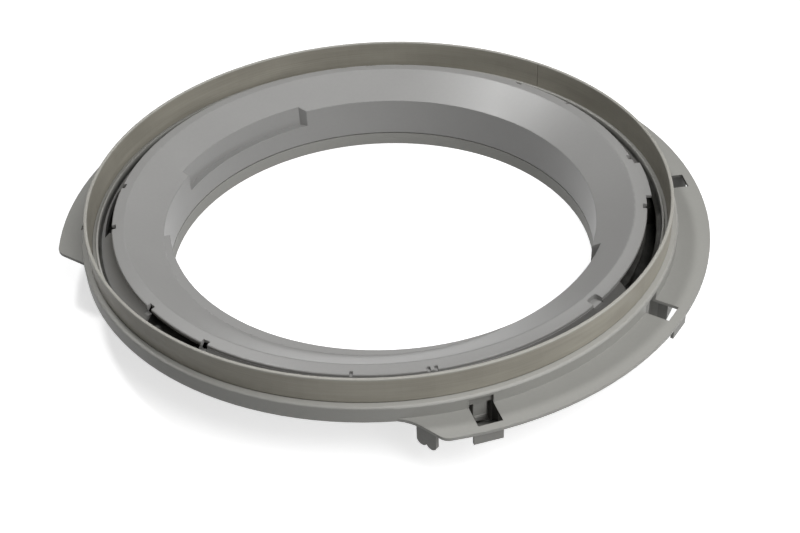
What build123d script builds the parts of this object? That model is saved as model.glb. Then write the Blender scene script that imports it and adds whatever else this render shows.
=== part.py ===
from build123d import *
import math
import os

# Front drum bearing ring of a tumble dryer: a moulded ring carries the slippery glide strip that the
# drum turns on, and a duct shroud stands in the ring around the door tunnel.
# Millimetres. Z runs up the ring's axis from the foot of the tunnel, -Y is the front of the ring,
# and azimuths are degrees counter-clockwise from +X.

# Glide strip
GLIDE_RADIUS = 238.0
GLIDE_THICKNESS = 2.7
GLIDE_HEIGHT = 32.0
GLIDE_RELIEF = 0.8
GLIDE_EDGE_ROUND = 0.9
GLIDE_JOINT_AZIMUTH = 50.0
GLIDE_JOINT_GAP = 0.6
GLIDE_FIT = 0.25
TRACK_CLEARANCE = 1.0

# Bearing ring: skirt, glide groove and gutter
SKIRT_STANDOFF = 5.0
SKIRT_WALL = 1.8
SKIRT_RISE = 11.0
SKIRT_TOP_ROUND = 1.7
CHANNEL_RISE = 8.5
GROOVE_DEPTH = 8.0
GROOVE_FLOOR_WALL = 2.5
INNER_GAP = 3.1
LEG_WALL = 1.8
LEG_RISE = 10.1
LEG_TOP_ROUND = 0.7
SHELF_RISE = 3.0
SHELF_WIDTH = 19.5
GUTTER_ROUND = 2.0
AIR_SLOTS = ((171.5, 187.5, 7.0), (218.0, 233.0, 7.5), (325.0, 368.0, 11.0))

# Bearing ring: flange, whose edge is set off the ring's axis
FLANGE_HEIGHT = 45.5
FLANGE_THICKNESS = 2.5
FLANGE_WIDTH = 23.5
FLANGE_SHIFT_X = 2.5
FLANGE_SHIFT_Y = -0.4
FLANGE_FRONT_AZIMUTH = -81.5
FLANGE_FRONT_ROOT_AZIMUTH = -86.5
FLANGE_FRONT_ROUND = 9.0
FLANGE_HOLLOW_AZIMUTH = -89.5
FLANGE_HOLLOW_SHARE = 0.6
FLANGE_LEFT_AZIMUTH = 187.3
FLANGE_LEFT_ROOT_AZIMUTH = 192.2
FLANGE_LEFT_ROUND = 12.0
DIMPLE_AZIMUTH = 180.3
DIMPLE_LENGTH = 6.0
DIMPLE_WIDTH = 3.0
DIMPLE_DEPTH = 1.6
DIMPLE_INSET = 3.6

# Bearing ring: clip windows with their legs, the tabs at the flange's edge and the front prongs
WINDOW_COUNT = 6
WINDOW_FIRST_AZIMUTH = -74.2
WINDOW_PITCH = 40.0
WINDOW_WIDTH = 18.0
WINDOW_REACH = 18.3
WINDOW_HEADROOM = 3.5
WINDOW_RECESS = 3.0
CLIP_WIDTH = 10.0
CLIP_WALL = 2.4
CLIP_DROP = 13.0
CLIP_HOOK_REACH = 2.0
CLIP_HOOK_HEIGHT = 3.5
TAB_WIDTH = 21.5
TAB_DROP = 8.5
TAB_WALL = 2.4
TAB_TURN = -0.7
TAB_INSET = 0.8
PRONG_SHARES = (0.39, 0.64)
PRONG_INSET = 1.9
PRONG_WIDTH = 8.8
PRONG_WALL = 3.0
PRONG_DROP = 16.0

# Bearing ring: trough, closed clip pocket, air outlet well, stiffening rib and tunnel collar
TROUGH_WALL = 2.5
TROUGH_STEP = 1.5
TROUGH_FLOOR_WIDTH = 13.5
TROUGH_SHOULDER = 7.0
POUCH_FLOOR_SLOPE = 0.79
WELL_START = -29.7
WELL_STOP = 0.0
WELL_REACH = 7.0
WELL_DEPTH = 23.0
WELL_INSET = 17.0
RIB_AZIMUTH = 9.0
RIB_DROP = 19.0
COLLAR_HEIGHT = 11.5
COLLAR_LAP = 8.0
COLLAR_WALL = 2.5

# Door tunnel: a round far side and an offset near side that step into each other
CONE_WIDTH = 29.5
NEAR_GROWTH = 3.2
NEAR_SHIFT_X = 7.3
NEAR_SHIFT_Y = 8.2
NEAR_START = 186.5
NEAR_STOP = 340.0

# Duct shroud
SHROUD_WALL = 2.5
SHROUD_FIT = 0.3
SEAM_GAP = 1.0
SILL_RISE = 1.5
SILL_DEPTH = 14.0
LIP_RISE = 18.5
LIP_WIDTH = 10.0
LIP_GAP = 12.4
LIP_EDGE_ROUND = 1.2
CREST_RISE = 1.0
CREST_ROUND = 2.5
LIP_TAB_START = -5.0
LIP_TAB_STOP = 7.5
LIP_TAB_REACH = 4.3
POCKET_START = 113.4
POCKET_STOP = 158.0
POCKET_SLANT = 7.0
POCKET_DEPTH = 5.5
POCKET_DROP = 15.5
SNAP_AZIMUTHS = (-172.5, -142.5, -126.0, -9.0, 10.0, 52.0, 98.0, 172.0)
SNAP_WIDTH = 6.0
SNAP_DEPTH = 3.5
SNAP_HEIGHT = 5.5
SLIT_AZIMUTHS = (-96.0, -81.7, -80.3, 37.0, 83.0, 90.1, 91.0, 91.9)
SLIT_WIDTH = 2.4
SLIT_HEIGHT = 1.6
RECESS_AZIMUTH = -43.5
RECESS_WIDTH = 11.0
RECESS_DEPTH = 6.5
RECESS_HEIGHT = 4.0
CUT_CLEARANCE = 1.0

# Radii that follow from them
glide_inner = GLIDE_RADIUS - GLIDE_THICKNESS
glide_foot_outer = GLIDE_RADIUS - GLIDE_RELIEF
groove_outer = glide_foot_outer + GLIDE_FIT
groove_inner = glide_inner - GLIDE_FIT
skirt_radius = GLIDE_RADIUS + SKIRT_STANDOFF
skirt_inner = skirt_radius - SKIRT_WALL
skirt_middle = skirt_radius - SKIRT_WALL / 2
flange_radius = skirt_radius + FLANGE_WIDTH
window_outer = skirt_radius + WINDOW_REACH
clip_outer = skirt_radius - WINDOW_RECESS
clip_inner = clip_outer - CLIP_WALL
leg_outer = glide_inner - INNER_GAP
leg_inner = leg_outer - LEG_WALL
trough_outer = leg_inner + TROUGH_WALL
trough_inner = leg_inner - TROUGH_WALL
shelf_inner = leg_inner - SHELF_WIDTH
lip_radius = leg_inner - LIP_GAP
lip_middle = lip_radius - SHROUD_WALL / 2
flare_radius = leg_inner - GUTTER_ROUND - SHROUD_FIT
crest_radius = lip_radius - LIP_WIDTH
tunnel_radius = crest_radius - CONE_WIDTH
near_radius = tunnel_radius + NEAR_GROWTH
sill_inner = tunnel_radius - SILL_DEPTH
pocket_radius = tunnel_radius + POCKET_DEPTH
trough_floor_radius = tunnel_radius + TROUGH_FLOOR_WIDTH
collar_margin = SHROUD_WALL + SHROUD_FIT + COLLAR_WALL

# Heights that follow from them
flange_bottom = FLANGE_HEIGHT - FLANGE_THICKNESS
skirt_top = FLANGE_HEIGHT + SKIRT_RISE
window_top = skirt_top - WINDOW_HEADROOM
channel_floor = FLANGE_HEIGHT + CHANNEL_RISE
groove_floor = channel_floor - GROOVE_DEPTH
channel_bottom = groove_floor - GROOVE_FLOOR_WALL
glide_top = groove_floor + GLIDE_HEIGHT
track_bottom = skirt_top + TRACK_CLEARANCE
clip_bottom = flange_bottom - CLIP_DROP
leg_top = FLANGE_HEIGHT + LEG_RISE
shelf_top = FLANGE_HEIGHT + SHELF_RISE
shelf_bottom = shelf_top - TROUGH_WALL
trough_shoulder = shelf_top - TROUGH_SHOULDER
trough_floor = COLLAR_HEIGHT + TROUGH_STEP
lap_top = COLLAR_HEIGHT + COLLAR_LAP
tunnel_bottom = COLLAR_HEIGHT + SEAM_GAP
sill_height = FLANGE_HEIGHT + SILL_RISE
lip_height = FLANGE_HEIGHT + LIP_RISE
crest_height = lip_height + CREST_RISE
lip_bottom = lip_height - SHROUD_WALL
foot_top = shelf_top + SHROUD_WALL
cone_rise = crest_height - sill_height
cone_drop = SHROUD_WALL * math.hypot(CONE_WIDTH, cone_rise) / CONE_WIDTH
flare_run, flare_rise = flare_radius - lip_radius, lip_bottom - foot_top
flare_wall = SHROUD_WALL * math.hypot(flare_run, flare_rise) / flare_rise
pocket_floor = sill_height - POCKET_DROP
recess_floor = lip_height - RECESS_HEIGHT

window_azimuths = [WINDOW_FIRST_AZIMUTH + WINDOW_PITCH * i for i in range(WINDOW_COUNT)]


def polar(radius, azimuth):
    """The plan point at a radius and an azimuth."""
    angle = math.radians(azimuth)
    return (radius * math.cos(angle), radius * math.sin(angle))


def half_angle(width, radius):
    """Half the azimuth that a width takes up at a radius."""
    return math.degrees(width / 2 / radius)


def reach(azimuth, radius, shift_x, shift_y):
    """How far from the axis a shifted circle lies along an azimuth."""
    angle = math.radians(azimuth)
    along = shift_x * math.cos(angle) + shift_y * math.sin(angle)
    across = shift_x * math.sin(angle) - shift_y * math.cos(angle)
    return along + math.sqrt(radius**2 - across**2)


def flange_point(azimuth):
    """The point of the flange's edge along an azimuth."""
    return polar(reach(azimuth, flange_radius, FLANGE_SHIFT_X, FLANGE_SHIFT_Y), azimuth)


def annular_sector(inner, outer, start, stop, height, slant=0.0):
    """The face between two radii and two azimuths, at a height, with its first end turned by a slant."""
    middle = (start + stop) / 2
    with BuildSketch(Plane.XY.offset(height)) as sector:
        with BuildLine():
            ThreePointArc(polar(outer, start), polar(outer, middle), polar(outer, stop))
            Line(polar(outer, stop), polar(inner, stop))
            ThreePointArc(polar(inner, stop), polar(inner, middle), polar(inner, start - slant))
            Line(polar(inner, start - slant), polar(outer, start))
        make_face()
    return sector.sketch


def door_tunnel(margin, height):
    """The tunnel's outline, grown by a margin all round, at a height."""
    far_radius = tunnel_radius + margin
    turn = math.degrees(margin / tunnel_radius)
    start, stop = NEAR_START + turn, NEAR_STOP + turn
    middle = (start + stop) / 2
    near = [
        polar(reach(azimuth, near_radius + margin, NEAR_SHIFT_X, NEAR_SHIFT_Y), azimuth)
        for azimuth in (start, middle, stop)
    ]
    far = [polar(far_radius, azimuth) for azimuth in (stop, middle + 180, start)]
    with BuildSketch(Plane.XY.offset(height)) as tunnel:
        with BuildLine():
            ThreePointArc(*far)
            Line(far[2], near[0])
            ThreePointArc(*near)
            Line(near[2], far[0])
        make_face()
    return tunnel.sketch


def turned_wedge(outline, start, stop):
    """The solid that a section of radii and heights sweeps between two azimuths."""
    start_plane = Plane(origin=(0, 0, 0), x_dir=(*polar(1, start), 0), z_dir=(*polar(1, start - 90), 0))
    with BuildPart() as wedge:
        with BuildSketch(start_plane):
            with BuildLine():
                Polyline(*outline, close=True)
            make_face()
        revolve(axis=Axis.Z, revolution_arc=stop - start)
    return wedge.part


def corner(sketch, radius, height):
    """The vertex of a turned section nearest to a radius and a height."""
    return sketch.vertices().sort_by_distance((radius, height))[0]


os.makedirs("parts", exist_ok=True)

# Glide strip: an open band with a butt joint, relieved below the track
with BuildPart() as drum_glide:
    with BuildSketch(Plane.XZ) as strip:
        with BuildLine():
            Polyline(
                (glide_foot_outer, groove_floor),
                (glide_foot_outer, track_bottom),
                (GLIDE_RADIUS, track_bottom),
                (GLIDE_RADIUS, glide_top),
                (glide_inner, glide_top),
                (glide_inner, groove_floor),
                close=True,
            )
        make_face()
        fillet(strip.vertices().group_by(Axis.Y)[-1], GLIDE_EDGE_ROUND)
    revolve(axis=Axis.Z)
    joint_turn = half_angle(GLIDE_JOINT_GAP, GLIDE_RADIUS)
    joint = annular_sector(
        glide_inner - CUT_CLEARANCE, GLIDE_RADIUS + CUT_CLEARANCE, GLIDE_JOINT_AZIMUTH - joint_turn,
        GLIDE_JOINT_AZIMUTH + joint_turn, groove_floor - CUT_CLEARANCE,
    )
    extrude(joint, amount=GLIDE_HEIGHT + 2 * CUT_CLEARANCE, mode=Mode.SUBTRACT)

# Bearing ring: skirt, glide groove and gutter turned as one solid section
with BuildPart() as bearing_ring:
    with BuildSketch(Plane.XZ) as section:
        with BuildLine():
            Polyline(
                (skirt_radius, flange_bottom),
                (skirt_radius, skirt_top),
                (groove_outer, skirt_top),
                (groove_outer, groove_floor),
                (groove_inner, groove_floor),
                (groove_inner, channel_floor),
                (leg_outer, channel_floor),
                (leg_outer, leg_top),
                (leg_inner, leg_top),
                (leg_inner, shelf_top),
                (sill_inner, shelf_top),
                (sill_inner, trough_floor - TROUGH_WALL),
                (trough_floor_radius + TROUGH_WALL / 2, trough_floor - TROUGH_WALL),
                (leg_inner, trough_shoulder - TROUGH_WALL),
                (trough_outer, trough_shoulder),
                (trough_outer, channel_bottom),
                (skirt_inner, channel_bottom),
                (skirt_inner, flange_bottom),
                close=True,
            )
        make_face()
        fillet(corner(section, skirt_radius, skirt_top), SKIRT_TOP_ROUND)
        fillet([corner(section, leg_outer, leg_top), corner(section, leg_inner, leg_top)], LEG_TOP_ROUND)
        fillet(corner(section, leg_inner, shelf_top), GUTTER_ROUND)
    revolve(axis=Axis.Z)

    # Flange round most of the skirt, with a hollowed front end and a slanted left end
    flange_middle = (FLANGE_FRONT_AZIMUTH + FLANGE_LEFT_AZIMUTH) / 2
    front_corner = Vector(*flange_point(FLANGE_FRONT_AZIMUTH))
    front_line = Vector(*polar(skirt_radius, FLANGE_FRONT_ROOT_AZIMUTH)) - front_corner
    hollow_start = front_corner + front_line * FLANGE_HOLLOW_SHARE
    hollow_end = polar(skirt_middle, FLANGE_HOLLOW_AZIMUTH)
    left_corner = flange_point(FLANGE_LEFT_AZIMUTH)
    left_root = polar(skirt_middle, FLANGE_LEFT_ROOT_AZIMUTH)
    root_middle = polar(skirt_middle, (FLANGE_HOLLOW_AZIMUTH + FLANGE_LEFT_ROOT_AZIMUTH) / 2)
    with BuildSketch(Plane.XY.offset(flange_bottom)) as flange:
        with BuildLine():
            ThreePointArc(front_corner, flange_point(flange_middle), left_corner)
            Line(left_corner, left_root)
            ThreePointArc(left_root, root_middle, hollow_end)
            TangentArc(hollow_start, hollow_end, tangent=front_line)
            Line(hollow_start, front_corner)
        make_face()
        fillet(flange.vertices().sort_by_distance(front_corner)[0], FLANGE_FRONT_ROUND)
        fillet(flange.vertices().sort_by_distance(left_corner)[0], FLANGE_LEFT_ROUND)
    extrude(amount=FLANGE_THICKNESS)

    # Outsides of the air outlet well and of the closed pouch behind the first window
    well_outer, well_inner = skirt_radius + WELL_REACH, trough_inner - WELL_INSET
    well_bottom = flange_bottom - WELL_DEPTH
    well_turn = half_angle(2 * TROUGH_WALL, skirt_radius)
    well = annular_sector(well_inner, well_outer, WELL_START, WELL_STOP, well_bottom)
    extrude(well, amount=WELL_DEPTH + FLANGE_THICKNESS / 2)
    pouch_turn = half_angle(WINDOW_WIDTH, skirt_radius)
    pouch_wall = half_angle(2 * TROUGH_WALL, skirt_radius)
    pouch_start, pouch_stop = WINDOW_FIRST_AZIMUTH - pouch_turn, WINDOW_FIRST_AZIMUTH + pouch_turn
    pouch_inner = trough_outer + CUT_CLEARANCE
    pouch_drop = POUCH_FLOOR_SLOPE * (window_outer - pouch_inner)
    pouch_outer, pouch_rim = window_outer + TROUGH_WALL, flange_bottom - CUT_CLEARANCE
    pouch_outline = (
        (leg_inner, flange_bottom + FLANGE_THICKNESS / 2),
        (pouch_outer, flange_bottom + FLANGE_THICKNESS / 2),
        (pouch_outer, pouch_rim),
        (leg_inner, pouch_rim - POUCH_FLOOR_SLOPE * (pouch_outer - leg_inner)),
    )
    add(turned_wedge(pouch_outline, pouch_start - pouch_wall, pouch_stop + pouch_wall))

    # Trough under the gutter's shelf, then the insides of the well and the pouch
    with BuildSketch(Plane.XZ):
        with BuildLine():
            Polyline(
                (sill_inner - CUT_CLEARANCE, trough_floor),
                (trough_floor_radius, trough_floor),
                (trough_inner, trough_shoulder),
                (trough_inner, shelf_bottom),
                (shelf_inner, shelf_bottom),
                (shelf_inner, leg_top),
                (sill_inner - CUT_CLEARANCE, leg_top),
                close=True,
            )
        make_face()
    revolve(axis=Axis.Z, mode=Mode.SUBTRACT)
    well_space = annular_sector(
        well_inner + TROUGH_WALL, well_outer - TROUGH_WALL, WELL_START + well_turn, WELL_STOP - well_turn,
        well_bottom + TROUGH_WALL,
    )
    extrude(well_space, amount=shelf_bottom - well_bottom - TROUGH_WALL - CUT_CLEARANCE, mode=Mode.SUBTRACT)
    pouch_space = (
        (pouch_inner, flange_bottom + CUT_CLEARANCE / 4),
        (window_outer, flange_bottom + CUT_CLEARANCE / 4),
        (window_outer, flange_bottom),
        (pouch_inner, flange_bottom - pouch_drop),
    )
    add(turned_wedge(pouch_space, pouch_start, pouch_stop), mode=Mode.SUBTRACT)

    # Collar that the shroud's tunnel wall stands in
    extrude(door_tunnel(collar_margin, 0), amount=lap_top)
    lap_space = door_tunnel(SHROUD_WALL + SHROUD_FIT, COLLAR_HEIGHT)
    extrude(lap_space, amount=lap_top, mode=Mode.SUBTRACT)
    extrude(door_tunnel(0, -CUT_CLEARANCE), amount=lap_top, mode=Mode.SUBTRACT)

    # Clip windows: a slot in the flange and a recess in the skirt above it
    slot_inner, slot_bottom = clip_inner + CUT_CLEARANCE / 4, flange_bottom - CUT_CLEARANCE
    for first, last, low, high in (
        (slot_inner, window_outer, slot_bottom, FLANGE_HEIGHT),
        (clip_outer, skirt_radius + CUT_CLEARANCE, flange_bottom, window_top),
    ):
        with BuildSketch(Plane.XY.offset(low)):
            with PolarLocations(
                (first + last) / 2, WINDOW_COUNT, WINDOW_FIRST_AZIMUTH,
                WINDOW_PITCH * (WINDOW_COUNT - 1), endpoint=True,
            ):
                Rectangle(last - first, WINDOW_WIDTH)
        extrude(amount=high - low, mode=Mode.SUBTRACT)

    # Hooked clip legs that hang through the windows
    clip_middle, hook_outer = (clip_inner + clip_outer) / 2, clip_outer + CLIP_HOOK_REACH
    with BuildSketch(Plane.XY.offset(clip_bottom)):
        with PolarLocations(
            clip_middle, WINDOW_COUNT, WINDOW_FIRST_AZIMUTH, WINDOW_PITCH * (WINDOW_COUNT - 1),
            endpoint=True,
        ):
            Rectangle(CLIP_WALL - CUT_CLEARANCE / 4, CLIP_WIDTH)
    extrude(amount=channel_floor - clip_bottom)
    with BuildSketch(Plane.XY.offset(clip_bottom + CUT_CLEARANCE / 4)):
        with PolarLocations(
            (clip_middle + hook_outer) / 2, WINDOW_COUNT, WINDOW_FIRST_AZIMUTH,
            WINDOW_PITCH * (WINDOW_COUNT - 1), endpoint=True,
        ):
            Rectangle(hook_outer - clip_middle, CLIP_WIDTH - CUT_CLEARANCE)
    extrude(amount=CLIP_HOOK_HEIGHT)

    # Locating tabs under the flange's edge, one at each window
    for azimuth in window_azimuths:
        tab_azimuth = azimuth + TAB_TURN
        edge = reach(tab_azimuth, flange_radius, FLANGE_SHIFT_X, FLANGE_SHIFT_Y) - TAB_INSET
        with BuildSketch(Plane.XY.offset(flange_bottom - TAB_DROP)):
            with PolarLocations(edge - TAB_WALL / 2, 1, tab_azimuth):
                Rectangle(TAB_WALL, TAB_WIDTH)
        extrude(amount=TAB_DROP + FLANGE_THICKNESS / 2)

    # Two rounded prongs under the flange's front end
    prong_across = front_line.cross(Vector(0, 0, 1)).normalized()
    prong_root = FLANGE_THICKNESS / 2
    prong_centre = PRONG_WIDTH / 2 - PRONG_DROP
    for share in PRONG_SHARES:
        prong_foot = front_corner + front_line * share + prong_across * PRONG_INSET
        prong_origin = prong_foot + Vector(0, 0, flange_bottom)
        with BuildSketch(Plane(origin=prong_origin, x_dir=front_line, z_dir=prong_across)):
            with Locations((0, prong_centre)):
                Circle(PRONG_WIDTH / 2)
            with Locations((0, (prong_centre + prong_root) / 2)):
                Rectangle(PRONG_WIDTH, prong_root - prong_centre)
        extrude(amount=PRONG_WALL / 2, both=True)

    # Stiffening rib under the flange, the dimple at its left end and the air slots in the gutter's shelf
    rib_outer = reach(RIB_AZIMUTH, flange_radius, FLANGE_SHIFT_X, FLANGE_SHIFT_Y) - TAB_INSET
    with BuildSketch(Plane.XY.offset(flange_bottom - RIB_DROP)):
        with PolarLocations((skirt_middle + rib_outer) / 2, 1, RIB_AZIMUTH):
            Rectangle(rib_outer - skirt_middle, TROUGH_WALL)
    extrude(amount=RIB_DROP + FLANGE_THICKNESS / 2)
    with BuildSketch(Plane.XY.offset(FLANGE_HEIGHT - DIMPLE_DEPTH)):
        with PolarLocations(skirt_radius + DIMPLE_INSET, 1, DIMPLE_AZIMUTH):
            Rectangle(DIMPLE_WIDTH, DIMPLE_LENGTH)
    extrude(amount=DIMPLE_DEPTH + CUT_CLEARANCE, mode=Mode.SUBTRACT)
    for start, stop, width in AIR_SLOTS:
        slot_outer = min(lip_radius + width, trough_inner - TROUGH_STEP)
        air_slot = annular_sector(
            lip_radius + SHROUD_FIT, slot_outer, start, stop, shelf_bottom - CUT_CLEARANCE
        )
        extrude(air_slot, amount=leg_top - shelf_bottom, mode=Mode.SUBTRACT)

# Hollow under the shroud, left solid at the tunnel wall and behind the pocket and the recess
with BuildPart() as shroud_hollow:
    hollow_bottom = tunnel_bottom - CUT_CLEARANCE
    with BuildSketch(Plane.XZ):
        with BuildLine():
            Polyline(
                (sill_inner - CUT_CLEARANCE, hollow_bottom),
                (flare_radius - flare_wall, hollow_bottom),
                (flare_radius - flare_wall, foot_top),
                (lip_radius - flare_wall, lip_bottom),
                (crest_radius, crest_height - cone_drop),
                (tunnel_radius, sill_height - cone_drop),
                (sill_inner - CUT_CLEARANCE, sill_height - cone_drop),
                close=True,
            )
        make_face()
    revolve(axis=Axis.Z)
    tunnel_core = door_tunnel(SHROUD_WALL, hollow_bottom - CUT_CLEARANCE)
    extrude(tunnel_core, amount=glide_top, mode=Mode.SUBTRACT)
    pocket_turn = half_angle(2 * SHROUD_WALL, tunnel_radius)
    pocket_back = annular_sector(
        sill_inner, pocket_radius + SHROUD_WALL, POCKET_START - pocket_turn, POCKET_STOP + pocket_turn,
        pocket_floor - SHROUD_WALL, POCKET_SLANT,
    )
    extrude(pocket_back, amount=glide_top, mode=Mode.SUBTRACT)
    recess_turn = half_angle(RECESS_WIDTH + 2 * SHROUD_WALL, lip_radius)
    recess_back = annular_sector(
        lip_radius - RECESS_DEPTH - SHROUD_WALL, lip_radius, RECESS_AZIMUTH - recess_turn,
        RECESS_AZIMUTH + recess_turn, recess_floor - SHROUD_WALL,
    )
    extrude(recess_back, amount=glide_top, mode=Mode.SUBTRACT)

# Duct shroud: flared skirt, lip, cone, sill and tunnel wall turned solid, then hollowed
with BuildPart() as duct_shroud:
    with BuildSketch(Plane.XZ) as shell:
        with BuildLine():
            Polyline(
                (sill_inner, sill_height),
                (tunnel_radius, sill_height),
                (crest_radius, crest_height),
                (lip_radius, lip_height),
                (lip_radius, lip_bottom),
                (flare_radius, foot_top),
                (flare_radius, shelf_top),
                (crest_radius, shelf_top),
                (crest_radius, tunnel_bottom),
                (sill_inner, tunnel_bottom),
                close=True,
            )
        make_face()
        fillet(corner(shell, crest_radius, crest_height), CREST_ROUND)
        fillet(corner(shell, lip_radius, lip_height), LIP_EDGE_ROUND)
    revolve(axis=Axis.Z)
    add(shroud_hollow.part, mode=Mode.SUBTRACT)
    extrude(door_tunnel(0, 0), amount=glide_top, mode=Mode.SUBTRACT)
    pocket = annular_sector(
        sill_inner, pocket_radius, POCKET_START, POCKET_STOP, pocket_floor, POCKET_SLANT
    )
    extrude(pocket, amount=glide_top, mode=Mode.SUBTRACT)

    # Air slots through the flared skirt
    for start, stop, width in AIR_SLOTS:
        air_slot = annular_sector(
            lip_radius - CUT_CLEARANCE, lip_radius + width, start, stop, shelf_top - CUT_CLEARANCE
        )
        extrude(air_slot, amount=lip_bottom - shelf_top + CUT_CLEARANCE, mode=Mode.SUBTRACT)

    # Widened stretch of the lip
    lip_tab = annular_sector(
        lip_middle, lip_radius + LIP_TAB_REACH, LIP_TAB_START, LIP_TAB_STOP, lip_bottom
    )
    extrude(lip_tab, amount=SHROUD_WALL)

    # Larger recess, snap notches and narrow slits in the lip's edge
    with BuildSketch(Plane.XY.offset(recess_floor)):
        with PolarLocations(lip_radius, 1, RECESS_AZIMUTH):
            RectangleRounded(2 * RECESS_DEPTH, RECESS_WIDTH, RECESS_DEPTH / 3)
    extrude(amount=glide_top - recess_floor, mode=Mode.SUBTRACT)
    for azimuths, width, depth in (
        (SNAP_AZIMUTHS, SNAP_WIDTH, SNAP_HEIGHT),
        (SLIT_AZIMUTHS, SLIT_WIDTH, SLIT_HEIGHT),
    ):
        for azimuth in azimuths:
            with BuildSketch(Plane.XY.offset(lip_height - depth)):
                with PolarLocations(lip_radius, 1, azimuth):
                    Rectangle(2 * SNAP_DEPTH, width)
            extrude(amount=glide_top - lip_height + depth, mode=Mode.SUBTRACT)

drum_glide.part.label = "drum_glide"
bearing_ring.part.label = "bearing_ring"
duct_shroud.part.label = "duct_shroud"
for piece in (drum_glide, bearing_ring, duct_shroud):
    export_step(piece.part, f"parts/{piece.part.label}.step")
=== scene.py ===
import math

import bpy
from mathutils import Matrix, Vector


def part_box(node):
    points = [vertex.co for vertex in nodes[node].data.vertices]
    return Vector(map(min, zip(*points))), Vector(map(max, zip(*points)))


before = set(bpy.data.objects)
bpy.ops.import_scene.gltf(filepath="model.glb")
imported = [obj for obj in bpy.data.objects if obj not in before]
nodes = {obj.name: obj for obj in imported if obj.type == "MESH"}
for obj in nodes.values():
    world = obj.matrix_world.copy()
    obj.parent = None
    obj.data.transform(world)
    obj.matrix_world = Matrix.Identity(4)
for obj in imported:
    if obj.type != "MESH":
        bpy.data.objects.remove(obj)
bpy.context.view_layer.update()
scene = bpy.context.scene

# Camera fitted to the photograph: place and reach in metres, lens and sensor in millimetres
CAMERA_PLACE = (0.0147, -0.8710, 0.6669)
CAMERA_ELEVATION = math.radians(37.94)
CAMERA_ROLL = math.radians(-2.71)
CAMERA_LENS = 57.78
CAMERA_SENSOR = 36
CAMERA_REACH = 50

# Lights: azimuth and elevation in degrees, distance and size in metres, power in watts
LIGHTS = {
    "key_high": (-48, 60, 1.7, 1.2, 14.0),
    "key_low": (-52, 30, 1.7, 1.2, 9.6),
    "side": (-10, 35, 1.7, 1.2, 4.0),
    "top": (138, 65, 1.5, 0.24, 8.2),
}
LIGHT_AIM = (0, 0, 0.05)
WORLD_LIGHT = 0.06
WHITE = (1, 1, 1, 1)

# Floor: tones as it is seen and as light bounces off it, and a glow that grows to white between two distances
FLOOR_SIZE = 8
FLOOR_ROUGHNESS = 0.9
FLOOR_SEEN = 0.78
FLOOR_BOUNCE = 0.2
FLOOR_GLOW = 0.66
FLOOR_FAR_GLOW = 1.0
FLOOR_NEAR = 0.6
FLOOR_FAR = 1.4

# Places in metres that the shading follows, worked out from the boxes of the strip and the ring
track_radius, _, glide_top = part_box("drum_glide")[1]
skirt_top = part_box("bearing_ring")[1][2]
hollow_radius = track_radius - 0.0074
hollow_high = skirt_top - 0.002
flange_top = skirt_top - 0.0113
flange_underside = skirt_top - 0.0137
tab_radius = track_radius + 0.0045
lip_radius = track_radius - 0.02
lip_bottom = skirt_top + 0.0048

# Height in metres just above the foot of the shroud's tunnel wall, where the painted shade in the ring's
# hollow starts
HOLLOW_LOW = 0.0127

# Painted shade: shares of its colour, widths in metres over which it fades, and how far down a face with
# painted shade may look
HOLLOW_PAINTED_SHADE = (0.8, 1.0)
HOLLOW_FADE = 0.004
TAB_PAINTED_SHADE = 0.36
LIP_PAINTED_SHADE = 0.8
LIP_FADE = (0.001, 0.0105)
LIP_MARGIN = 0.0002
WINDOW_FADE = 0.006
PAINTED_SHADE_FACING = -0.2

# Painted shade in the windows: azimuth in degrees, near and far radius and half width in metres, share at
# left and right
WINDOW_PAINTED_SHADE = (
    (-74.2, 0.2405, 0.2617, 0.0093, 0.0, 0.95),
    (-34.2, 0.2370, 0.2405, 0.0093, 0.85, 0.0),
    (7.5, 0.2405, 0.2680, 0.0120, 0.8, 0.8),
)

# Paler top bands: depths in metres below the top between which they start and are full, and their share; on
# the skirt a painted highlight where its top edge catches light, on the strip a paler band along its top
SKIRT_PAINTED_HIGHLIGHT = (0.0014, 0.0004, 0.9)
GLIDE_RIM = (0.0016, 0.0006, 0.85)

# Noise in the plastics: features per metre, and the stretches of its range that tones are spread over
CLOUD_SCALE = 9.0
SPECK_SCALE = 420.0
PALE_EDGE_SCALE = 60.0
PAINTED_SHADE_SCALE = 70.0
WAVE_SCALE = 16.0
GRAIN_SCALE = 900.0
WIDE = (0.25, 0.75)
MIDDLE = (0.3, 0.7)
NARROW = (0.35, 0.65)

# Noise in the strip: features per metre along X, Y and Z, drawn out round the ring
MARK_SCALES = (9.0, 9.0, 900.0)
BLOTCH_SCALES = (14.0, 14.0, 60.0)
FIBRE_SCALES = (160.0, 160.0, 1600.0)

# Shares that each noise has in the tone, and that the paler edges (partly wear, partly painted highlight)
# have along an edge
CLOUD_SHARE = 0.7
SPECK_SHARE = 0.3
MARK_SHARE = 0.5
BLOTCH_SHARE = 0.5
PALE_EDGE_SHARES = (0.2, 0.8)

# Relief: depth in metres and strength
WAVE_RELIEF = (0.0015, 0.2)
GRAIN_RELIEF = (0.0001, 0.25)
GROOVE_RELIEF = (0.0003, 0.25)
FIBRE_RELIEF = (0.0001, 0.3)

# Surface: shine, how far the roughness strays, and the turn of the normal that counts as an edge
SHINE = 0.4
PLASTIC_SMOOTHER, PLASTIC_ROUGHER = 0.04, 0.05
STRIP_SMOOTHER, STRIP_ROUGHER = 0.08, 0.1
EDGE_FACING = (0.97, 0.8)
EDGE_SAMPLES = 2

# Sockets of Blender's Mix node when it mixes colours
MIX_SHARE, MIX_UNDER, MIX_OVER, MIX_RESULT = 0, 6, 7, 2


def grey(tone):
    return (tone, tone, tone, 1)


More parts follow.
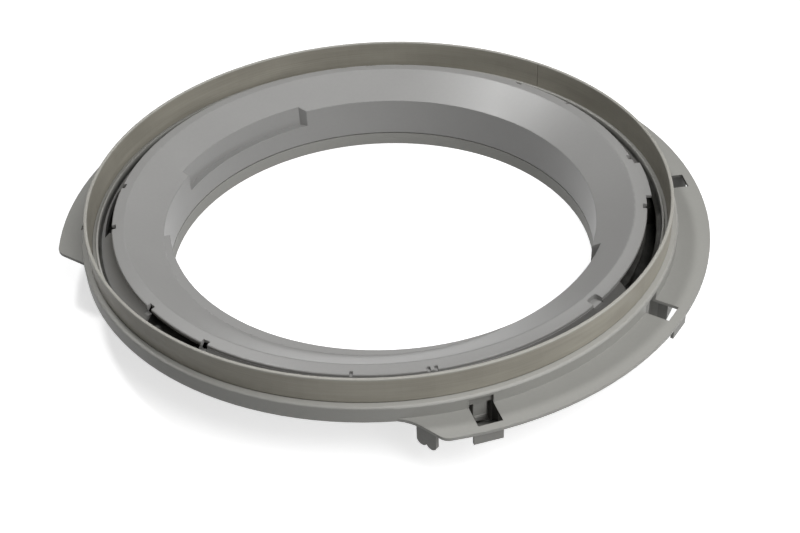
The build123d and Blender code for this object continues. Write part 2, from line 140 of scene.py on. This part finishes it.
def add_camera():
    tilt_sin, tilt_cos = math.sin(CAMERA_ELEVATION), math.cos(CAMERA_ELEVATION)
    roll_sin, roll_cos = math.sin(CAMERA_ROLL), math.cos(CAMERA_ROLL)
    level_right = Vector((1, 0, 0))
    level_down = Vector((0, -tilt_sin, -tilt_cos))
    back = Vector((0, -tilt_cos, tilt_sin))
    right = level_right * roll_cos - level_down * roll_sin
    up = -(level_right * roll_sin + level_down * roll_cos)
    data = bpy.data.cameras.new("photo_camera")
    data.sensor_fit = "HORIZONTAL"
    data.sensor_width = CAMERA_SENSOR
    data.lens = CAMERA_LENS
    data.clip_end = CAMERA_REACH
    camera = bpy.data.objects.new("photo_camera", data)
    rotation = Matrix((right, up, back)).transposed().to_4x4()
    camera.matrix_world = Matrix.Translation(CAMERA_PLACE) @ rotation
    scene.collection.objects.link(camera)
    scene.camera = camera


class Tree:
    """A material's node tree, with short ways to add nodes to it."""

    def __init__(self, name):
        self.material = bpy.data.materials.new(name)
        self.material.use_nodes = True
        self.nodes = self.material.node_tree.nodes
        self.links = self.material.node_tree.links
        self.shader = self.nodes["Principled BSDF"]
        self.place = self.node("ShaderNodeTexCoord").outputs["Object"]

    def node(self, kind, inputs=None, **settings):
        node = self.nodes.new(kind)
        for key, value in settings.items():
            setattr(node, key, value)
        for key, value in (inputs or {}).items():
            self.put(value, node.inputs[key])
        return node

    def put(self, value, socket):
        if isinstance(value, bpy.types.NodeSocket):
            self.links.new(value, socket)
        else:
            socket.default_value = value

    def shade(self, **values):
        for name, value in values.items():
            self.put(value, self.shader.inputs[name.replace("_", " ")])

    def maths(self, operation, first, second=0.0):
        return self.node("ShaderNodeMath", {0: first, 1: second}, operation=operation).outputs[0]

    def tint(self, share, colour, under):
        inputs = {MIX_SHARE: share, MIX_UNDER: under, MIX_OVER: (*colour, 1)}
        return self.node("ShaderNodeMix", inputs, data_type="RGBA").outputs[MIX_RESULT]

    def blend(self, share, first, second):
        return self.tint(share, second, (*first, 1))

    def span(self, value, low, high, out_low, out_high):
        limits = {"From Min": low, "From Max": high, "To Min": out_low, "To Max": out_high}
        return self.node("ShaderNodeMapRange", {"Value": value, **limits}).outputs[0]

    def noise(self, scale, detail=3.0, roughness=0.55, vector=None):
        inputs = {"Vector": vector or self.place, "Scale": scale, "Detail": detail, "Roughness": roughness}
        return self.node("ShaderNodeTexNoise", inputs).outputs["Fac"]

    def stretched_noise(self, scales, detail, roughness):
        vector = self.node("ShaderNodeMapping", {"Vector": self.place, "Scale": scales}).outputs[0]
        return self.noise(1.0, detail, roughness, vector)

    def axes(self):
        """The distance from the object's upright axis, and the height."""
        parts = self.node("ShaderNodeSeparateXYZ", {0: self.place}).outputs
        squares = [self.maths("POWER", parts[axis], 2.0) for axis in "XY"]
        return self.maths("SQRT", self.maths("ADD", *squares)), parts["Z"]

    def along(self, direction):
        inputs = {0: self.place, 1: direction}
        return self.node("ShaderNodeVectorMath", inputs, operation="DOT_PRODUCT").outputs["Value"]

    def every(self, *shares):
        whole = shares[0]
        for share in shares[1:]:
            whole = self.maths("MULTIPLY", whole, share)
        return whole

    def rounded(self, radius):
        return self.node("ShaderNodeBevel", {"Radius": radius}, samples=EDGE_SAMPLES).outputs[0]

    def bump(self, height, distance, strength, normal):
        inputs = {"Height": height, "Distance": distance, "Strength": strength, "Normal": normal}
        return self.node("ShaderNodeBump", inputs).outputs[0]

    def true_normal(self):
        return self.node("ShaderNodeNewGeometry").outputs["True Normal"]

    def edge(self, normal):
        inputs = {0: normal, 1: self.true_normal()}
        facing = self.node("ShaderNodeVectorMath", inputs, operation="DOT_PRODUCT").outputs["Value"]
        return self.span(facing, *EDGE_FACING, 0.0, 1.0)

    def pale_top(self, height, top, start, full, share):
        return self.span(height, top - start, top - full, 0.0, share)


def moulded_plastic(name, colour, shade, edge_colour, roughness, edge_radius):
    """Grained grey plastic with cloudy tone, slight waviness and paler edges, partly wear and partly a
    painted highlight where edges catch light.
    """
    tree = Tree(name)
    clouds = tree.noise(CLOUD_SCALE, detail=4.0)
    specks = tree.noise(SPECK_SCALE, detail=2.0)
    cloud_tone = tree.span(clouds, *MIDDLE, 0.0, CLOUD_SHARE)
    tone = tree.maths("ADD", cloud_tone, tree.span(specks, *MIDDLE, 0.0, SPECK_SHARE))
    soft_edge = tree.rounded(edge_radius)
    # Paler edges: partly wear, partly a painted highlight where edges catch light, in a patchy share
    pale_edge_share = tree.span(tree.noise(PALE_EDGE_SCALE), *NARROW, *PALE_EDGE_SHARES)
    wear_and_painted_highlight = tree.maths("MULTIPLY", tree.edge(soft_edge), pale_edge_share)
    base = tree.tint(wear_and_painted_highlight, edge_colour, tree.blend(tone, shade, colour))
    tree.shade(
        Base_Color=base,
        Roughness=tree.span(clouds, *WIDE, roughness - PLASTIC_SMOOTHER, roughness + PLASTIC_ROUGHER),
        Specular_IOR_Level=SHINE,
    )
    waves = tree.bump(tree.noise(WAVE_SCALE, detail=0.0), *WAVE_RELIEF, soft_edge)
    tree.shade(Normal=tree.bump(tree.noise(GRAIN_SCALE, detail=1.0), *GRAIN_RELIEF, waves))
    return tree, base


def ring_plastic(name, colour, shade, edge_colour, painted_shade_colour, roughness, edge_radius):
    """Moulded plastic with a painted highlight along its top edge, and painted shade in its hollow, in its
    windows and on its tabs.
    """
    tree, base = moulded_plastic(name, colour, shade, edge_colour, roughness, edge_radius)
    radius, height = tree.axes()
    # Painted highlight: the skirt's top edge is made paler as if catching light
    painted_highlight = tree.pale_top(height, skirt_top, *SKIRT_PAINTED_HIGHLIGHT)
    upward = tree.node("ShaderNodeSeparateXYZ", {0: tree.true_normal()}).outputs["Z"]
    painted_shade_face = tree.maths("GREATER_THAN", upward, PAINTED_SHADE_FACING)
    # Painted shade: the ring's hollow is darkened as if in shade, in a patchy share
    painted_shade = tree.every(
        painted_shade_face,
        tree.maths("LESS_THAN", radius, hollow_radius),
        tree.maths("GREATER_THAN", height, HOLLOW_LOW),
        tree.span(height, hollow_high - HOLLOW_FADE, hollow_high, 1.0, 0.0),
        tree.span(tree.noise(PAINTED_SHADE_SCALE), *MIDDLE, *HOLLOW_PAINTED_SHADE),
    )
    # Painted shade: the space behind each window is darkened as if in shadow under the flange
    for azimuth, near, far, half_width, left, right in WINDOW_PAINTED_SHADE:
        turn = math.radians(azimuth)
        outward = tree.along((math.cos(turn), math.sin(turn), 0))
        across = tree.along((-math.sin(turn), math.cos(turn), 0))
        patch = tree.every(
            painted_shade_face,
            tree.maths("GREATER_THAN", outward, near),
            tree.maths("LESS_THAN", outward, far),
            tree.maths("LESS_THAN", tree.maths("ABSOLUTE", across), half_width),
            tree.maths("LESS_THAN", height, flange_top),
            tree.span(across, -WINDOW_FADE, WINDOW_FADE, left, right),
        )
        painted_shade = tree.maths("MAXIMUM", painted_shade, patch)
    # Painted shade: the tabs under the flange are darkened as if in its shadow
    tabs = tree.every(
        tree.maths("GREATER_THAN", radius, tab_radius),
        tree.maths("LESS_THAN", height, flange_underside),
        TAB_PAINTED_SHADE,
    )
    painted_shade = tree.maths("MAXIMUM", painted_shade, tabs)
    tree.shade(Base_Color=tree.tint(painted_shade, painted_shade_colour, tree.tint(painted_highlight, edge_colour, base)))
    return tree.material


def shroud_plastic(name, colour, shade, edge_colour, painted_shade_colour, roughness, edge_radius):
    """Moulded plastic with painted shade that deepens under the overhang of the lip."""
    tree, base = moulded_plastic(name, colour, shade, edge_colour, roughness, edge_radius)
    radius, height = tree.axes()
    fade_start, fade_end = (lip_radius + reach for reach in LIP_FADE)
    # Painted shade: the face under the lip's overhang is darkened as if in its shadow
    painted_shade = tree.every(
        tree.span(radius, fade_start, fade_end, LIP_PAINTED_SHADE, 0.0),
        tree.maths("GREATER_THAN", radius, lip_radius - LIP_MARGIN),
        tree.maths("LESS_THAN", height, lip_bottom),
    )
    tree.shade(Base_Color=tree.tint(painted_shade, painted_shade_colour, base))
    return tree.material


def glide_strip(name, colour, shade, edge_colour, roughness):
    """Dense slippery strip with running marks drawn out round the ring, and a paler band along its top edge.
    """
    tree = Tree(name)
    marks = tree.stretched_noise(MARK_SCALES, detail=4.0, roughness=0.6)
    blotches = tree.stretched_noise(BLOTCH_SCALES, detail=3.0, roughness=0.5)
    fibres = tree.stretched_noise(FIBRE_SCALES, detail=2.0, roughness=0.5)
    mark_tone = tree.span(marks, *MIDDLE, 0.0, MARK_SHARE)
    tone = tree.maths("ADD", mark_tone, tree.span(blotches, *NARROW, 0.0, BLOTCH_SHARE))
    height = tree.axes()[1]
    rim = tree.pale_top(height, glide_top, *GLIDE_RIM)
    tree.shade(
        Base_Color=tree.tint(rim, edge_colour, tree.blend(tone, shade, colour)),
        Roughness=tree.span(marks, *MIDDLE, roughness - STRIP_SMOOTHER, roughness + STRIP_ROUGHER),
        Specular_IOR_Level=SHINE,
    )
    grooves = tree.bump(marks, *GROOVE_RELIEF, tree.true_normal())
    tree.shade(Normal=tree.bump(fibres, *FIBRE_RELIEF, grooves))
    return tree.material


def dress(node, material):
    mesh = nodes[node].data
    mesh.materials.clear()
    mesh.materials.append(material)


def add_floor():
    """A floor that shows white round the part's shadow, and bounces less light than it shows."""
    bpy.ops.mesh.primitive_plane_add(size=FLOOR_SIZE)
    floor = bpy.context.object
    floor.name = "floor"
    tree = Tree("floor_white")
    tree.shade(Base_Color=grey(FLOOR_BOUNCE), Roughness=FLOOR_ROUGHNESS)
    distance = tree.axes()[0]
    strength = tree.span(distance, FLOOR_NEAR, FLOOR_FAR, FLOOR_GLOW, FLOOR_FAR_GLOW)
    path = tree.node("ShaderNodeLightPath").outputs
    mirrored = tree.maths("MAXIMUM", path["Is Glossy Ray"], path["Is Transmission Ray"])
    seen = tree.maths("MAXIMUM", path["Is Camera Ray"], mirrored)
    white = tree.node("ShaderNodeBsdfDiffuse", {"Color": grey(FLOOR_SEEN)})
    glow = tree.node("ShaderNodeEmission", {"Color": WHITE, "Strength": strength})
    both = tree.node("ShaderNodeAddShader", {0: white.outputs[0], 1: glow.outputs[0]})
    mix = tree.node("ShaderNodeMixShader", {0: seen, 1: tree.shader.outputs[0], 2: both.outputs[0]})
    tree.links.new(mix.outputs[0], tree.nodes["Material Output"].inputs["Surface"])
    floor.data.materials.append(tree.material)


def add_light(name, azimuth, elevation, distance, size, power):
    turn, rise = math.radians(azimuth), math.radians(elevation)
    level = distance * math.cos(rise)
    place = Vector((level * math.cos(turn), level * math.sin(turn), distance * math.sin(rise)))
    data = bpy.data.lights.new(name, "AREA")
    data.shape = "DISK"
    data.size = size
    data.energy = power
    lamp = bpy.data.objects.new(name, data)
    aim = (Vector(LIGHT_AIM) - place).to_track_quat("-Z", "Y")
    lamp.matrix_world = Matrix.Translation(place) @ aim.to_matrix().to_4x4()
    scene.collection.objects.link(lamp)


def add_world():
    """A world that shows white to the camera and lights the part only faintly."""
    world = bpy.data.worlds.new("studio")
    scene.world = world
    world.use_nodes = True
    tree, links = world.node_tree.nodes, world.node_tree.links
    light = tree["Background"]
    light.inputs["Color"].default_value = WHITE
    light.inputs["Strength"].default_value = WORLD_LIGHT
    white = tree.new("ShaderNodeBackground")
    white.inputs["Color"].default_value = WHITE
    path = tree.new("ShaderNodeLightPath")
    mix = tree.new("ShaderNodeMixShader")
    links.new(path.outputs["Is Camera Ray"], mix.inputs[0])
    links.new(light.outputs[0], mix.inputs[1])
    links.new(white.outputs[0], mix.inputs[2])
    links.new(mix.outputs[0], tree["World Output"].inputs["Surface"])


add_camera()
add_floor()
add_world()
for light, settings in LIGHTS.items():
    add_light(light, *settings)
scene.view_settings.view_transform = "Standard"

dress("bearing_ring", ring_plastic(
    "ring_plastic",
    colour=(0.335, 0.332, 0.312),
    shade=(0.305, 0.302, 0.284),
    edge_colour=(0.42, 0.415, 0.39),
    # Colour of the painted shade in the hollow, the windows and on the tabs
    painted_shade_colour=(0.05, 0.049, 0.045),
    roughness=0.5,
    edge_radius=0.0008,
))
dress("duct_shroud", shroud_plastic(
    "shroud_plastic",
    colour=(0.33, 0.327, 0.32),
    shade=(0.302, 0.299, 0.293),
    edge_colour=(0.39, 0.387, 0.38),
    # Colour of the painted shade under the lip
    painted_shade_colour=(0.09, 0.088, 0.083),
    roughness=0.345,
    edge_radius=0.001,
))
dress("drum_glide", glide_strip(
    "glide_strip",
    colour=(0.36, 0.341, 0.289),
    shade=(0.255, 0.241, 0.202),
    edge_colour=(0.40, 0.392, 0.36),
    roughness=0.5,
))
